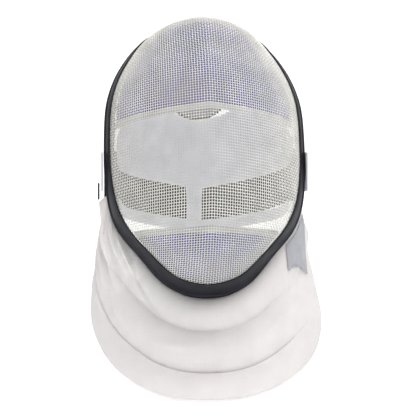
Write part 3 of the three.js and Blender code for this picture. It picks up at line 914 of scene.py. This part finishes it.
# ---------------------------------------------------------------- stage, light and camera

FLOOR_Z = -0.47
CAMERA_AZIMUTH = math.radians(-3.9)
CAMERA_ELEVATION = math.radians(1.0)
NOSE_DISTANCE = 1.5
NOSE_DEPTH = 0.110        # from the nose back to the aim point
FIELD_AT_NOSE = 0.416
AIM = Vector((0.0032, 0, -0.190))


def studio():
    size, radius, segments = 9.0, 1.2, 16
    back = 1.6
    profile = [(-size, 0.0), (back, 0.0)]
    profile += [
        (back + radius * math.sin(turn), radius - radius * math.cos(turn))
        for turn in np.linspace(0, math.pi / 2, segments)[1:]
    ]
    profile.append((back + radius, 6.0))
    points = [(x, y, z + FLOOR_Z) for y, z in profile for x in (-size, size)]
    faces = [(2 * k, 2 * k + 1, 2 * k + 3, 2 * k + 2) for k in range(len(profile) - 1)]
    mesh = bpy.data.meshes.new("studio_floor")
    mesh.from_pydata(points, [], faces)
    mesh.polygons.foreach_set("use_smooth", np.ones(len(mesh.polygons), bool))
    floor = bpy.data.objects.new("studio_floor", mesh)
    scene.collection.objects.link(floor)
    material, _, shader = new_material("floor_paper", (0.95, 0.95, 0.95), 0.9, specular=0.1)
    shader.inputs["Emission Color"].default_value = (1, 1, 1, 1)
    shader.inputs["Emission Strength"].default_value = 0.46
    mesh.materials.append(material)


def area_light(name, place, target, size, power, colour):
    data = bpy.data.lights.new(name, "AREA")
    data.shape = "SQUARE"
    data.size = size
    data.energy = power
    data.color = colour
    light = bpy.data.objects.new(name, data)
    light.location = place
    light.rotation_euler = (Vector(target) - Vector(place)).to_track_quat("-Z", "Y").to_euler()
    scene.collection.objects.link(light)


CENTRE = (0, 0, -0.2)
LIGHTS = (
    # name, place, target, size, power, colour
    ("top_softbox", (0.25, -0.7, 1.5), CENTRE, 1.1, 27.5, (1, 0.985, 0.965)),
    ("front_fill", (0.9, -2.2, 0.2), CENTRE, 1.2, 4.0, (1, 1, 1)),
    ("left_fill", (-1.8, -0.7, 0.3), CENTRE, 1.2, 1.6, (0.95, 0.97, 1)),
    ("backdrop_light", (0, 1.2, 2.4), (0, 2.8, -0.2), 1.5, 34, (1, 1, 1)),
)


def lights():
    for row in LIGHTS:
        area_light(*row)
    world = bpy.data.worlds.new("white_room")
    world.use_nodes = True
    background = world.node_tree.nodes["Background"]
    background.inputs["Color"].default_value = (1, 1, 1, 1)
    background.inputs["Strength"].default_value = 0.15
    scene.world = world
    scene.view_settings.view_transform = "Standard"


def camera():
    data = bpy.data.cameras.new("photo_camera")
    data.sensor_width = 36
    data.lens = data.sensor_width * NOSE_DISTANCE / FIELD_AT_NOSE
    data.clip_end = 50
    view = Vector((
        -math.sin(CAMERA_AZIMUTH) * math.cos(CAMERA_ELEVATION),
        math.cos(CAMERA_AZIMUTH) * math.cos(CAMERA_ELEVATION),
        -math.sin(CAMERA_ELEVATION),
    ))
    eye = bpy.data.objects.new("photo_camera", data)
    eye.location = AIM - view * (NOSE_DISTANCE + NOSE_DEPTH)
    eye.rotation_euler = view.to_track_quat("-Z", "Y").to_euler()
    scene.collection.objects.link(eye)
    scene.camera = eye


# ---------------------------------------------------------------- assembly

camera()
lights()
studio()

white_cloth = cloth("white_cloth", (0.805, 0.78, 0.78), (0.84, 0.818, 0.818), 1500, strength=0.22)
silver_ribbon = cloth("silver_ribbon", (0.42, 0.43, 0.46), (0.50, 0.51, 0.55), 2200, roughness=0.5)
blue_cloth = cloth("blue_cloth", (0.009, 0.007, 0.27), (0.014, 0.011, 0.44), 1200, sheen=0.02)
grey_webbing = cloth("grey_webbing", (0.50, 0.51, 0.55), (0.62, 0.63, 0.67), 1400)
grey_cloth = cloth("grey_cloth", (0.20, 0.21, 0.24), (0.32, 0.33, 0.37), 1200)
white_elastic = cloth("white_elastic", (0.86, 0.88, 0.92), (0.90, 0.92, 0.95), 1600)
# Near-black elastic, its own colour darkened further as painted shade where it shows through the face
# windows.
black_elastic = cloth("black_elastic", (0.008, 0.008, 0.010), (0.02, 0.02, 0.024), 1600, sheen=0.05)

dress(woven_wire(), enamelled_wire())
dress([bound_edge()], black_vinyl())
dress([*bib_piece(), bib_piping()], white_cloth)
dress([ribbon_piece()], silver_ribbon)
forehead_pad, forehead_edge, chin_pad, chin_edge = linings()
dress([forehead_pad, chin_pad], blue_cloth)
dress([forehead_edge, chin_edge], grey_webbing)
tongue_cover, tongue_edge = tongue_piece()
dress([tongue_cover], grey_cloth)
dress(harness_pieces(), white_elastic)
dress([tongue_edge, *strap_pieces()], black_elastic)
tab_left = rounded_plate("tab_left", "strap_tab_left", 2.5)
tab_right = rounded_plate("tab_right", "strap_tab_right", -3.5)
dress([tab_left, tab_right], grey_webbing)
dress([rounded_plate("loose_end", "strap_end_left", 1.5)], black_elastic)
